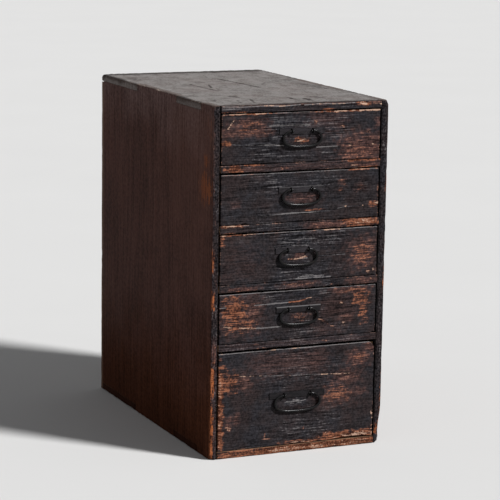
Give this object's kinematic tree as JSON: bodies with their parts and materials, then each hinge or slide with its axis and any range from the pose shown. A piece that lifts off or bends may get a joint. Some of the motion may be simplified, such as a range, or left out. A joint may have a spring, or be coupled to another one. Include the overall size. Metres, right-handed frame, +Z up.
{
  "type": "tansu document chest",
  "caption": "Upright wooden document chest with stacked sliding drawers in a finger-jointed case, worn black lacquer on the front and iron bail pulls on backplates.",
  "frame": {"origin": "middle of the case's underside, at floor level", "axes": "+Z up along the case's height, -Y out of the front where the drawers open, +X to the viewer's right when facing the front"},
  "size_m": [0.24, 0.3998, 0.446],
  "materials": {
    "side_stain": "dark red-brown stain, satin, worn to orange wood at the edges",
    "weathered_top": "grey-brown weathered wood, matt, scratched",
    "worn_lacquer": "black lacquer with raised grain, rubbed through to red-brown and orange wood",
    "bare_wood": "bare paulownia, darkened with age, matt",
    "back_wood": "plain cedar, unfinished, matt",
    "black_iron": "black forged iron, semi-matt, rubbed on the bails"
  },
  "bodies": {
    "case": {"left_side": "side_stain", "right_side": "side_stain", "top_board": "weathered_top", "bottom_board": "worn_lacquer", "back_panel": "back_wood", "rail_1": "worn_lacquer", "shelf_1": "bare_wood", "rail_2": "worn_lacquer", "shelf_2": "bare_wood", "rail_3": "worn_lacquer", "shelf_3": "bare_wood", "rail_4": "worn_lacquer", "shelf_4": "bare_wood"},
    "drawer_1": {"drawer_1_front": "worn_lacquer", "drawer_1_left": "bare_wood", "drawer_1_right": "bare_wood", "drawer_1_back": "bare_wood", "drawer_1_bottom": "bare_wood", "handle_1_plate": "black_iron", "handle_1_left_eye": "black_iron", "handle_1_right_eye": "black_iron"},
    "drawer_2": {"drawer_2_front": "worn_lacquer", "drawer_2_left": "bare_wood", "drawer_2_right": "bare_wood", "drawer_2_back": "bare_wood", "drawer_2_bottom": "bare_wood", "handle_2_plate": "black_iron", "handle_2_left_eye": "black_iron", "handle_2_right_eye": "black_iron"},
    "drawer_3": {"drawer_3_front": "worn_lacquer", "drawer_3_left": "bare_wood", "drawer_3_right": "bare_wood", "drawer_3_back": "bare_wood", "drawer_3_bottom": "bare_wood", "handle_3_plate": "black_iron", "handle_3_left_eye": "black_iron", "handle_3_right_eye": "black_iron"},
    "drawer_4": {"drawer_4_front": "worn_lacquer", "drawer_4_left": "bare_wood", "drawer_4_right": "bare_wood", "drawer_4_back": "bare_wood", "drawer_4_bottom": "bare_wood", "handle_4_plate": "black_iron", "handle_4_left_eye": "black_iron", "handle_4_right_eye": "black_iron"},
    "drawer_5": {"drawer_5_front": "worn_lacquer", "drawer_5_left": "bare_wood", "drawer_5_right": "bare_wood", "drawer_5_back": "bare_wood", "drawer_5_bottom": "bare_wood", "handle_5_plate": "black_iron", "handle_5_left_eye": "black_iron", "handle_5_right_eye": "black_iron"},
    "bail_1": {"handle_1_bail": "black_iron"},
    "bail_2": {"handle_2_bail": "black_iron"},
    "bail_3": {"handle_3_bail": "black_iron"},
    "bail_4": {"handle_4_bail": "black_iron"},
    "bail_5": {"handle_5_bail": "black_iron"}
  },
  "joints": [
    {"name": "drawer_1_slide", "type": "slide", "parent": "case", "child": "drawer_1", "axis": [0, -1, 0], "range_m": [0, 0.31]},
    {"name": "bail_1_swing", "type": "hinge", "parent": "drawer_1", "child": "bail_1", "pos_m": [-0.0005, -0.1993, 0.4116], "axis": [-1, 0, 0], "range_deg": [-1.7, 178.2]},
    {"name": "drawer_2_slide", "type": "slide", "parent": "case", "child": "drawer_2", "axis": [0, -1, 0], "range_m": [0, 0.31]},
    {"name": "bail_2_swing", "type": "hinge", "parent": "drawer_2", "child": "bail_2", "pos_m": [0, -0.1993, 0.3383], "axis": [-1, 0, 0], "range_deg": [-1.7, 178.2]},
    {"name": "drawer_3_slide", "type": "slide", "parent": "case", "child": "drawer_3", "axis": [0, -1, 0], "range_m": [0, 0.31]},
    {"name": "bail_3_swing", "type": "hinge", "parent": "drawer_3", "child": "bail_3", "pos_m": [-0.003, -0.1993, 0.262], "axis": [-1, 0, 0], "range_deg": [-1.7, 178.2]},
    {"name": "drawer_4_slide", "type": "slide", "parent": "case", "child": "drawer_4", "axis": [0, -1, 0], "range_m": [0, 0.31]},
    {"name": "bail_4_swing", "type": "hinge", "parent": "drawer_4", "child": "bail_4", "pos_m": [-0.0005, -0.1993, 0.1861], "axis": [-1, 0, 0], "range_deg": [-1.7, 178.2]},
    {"name": "drawer_5_slide", "type": "slide", "parent": "case", "child": "drawer_5", "axis": [0, -1, 0], "range_m": [0, 0.31]},
    {"name": "bail_5_swing", "type": "hinge", "parent": "drawer_5", "child": "bail_5", "pos_m": [-0.0003, -0.1993, 0.0755], "axis": [-1, 0, 0], "range_deg": [-1.6, 178.3]}
  ]
}
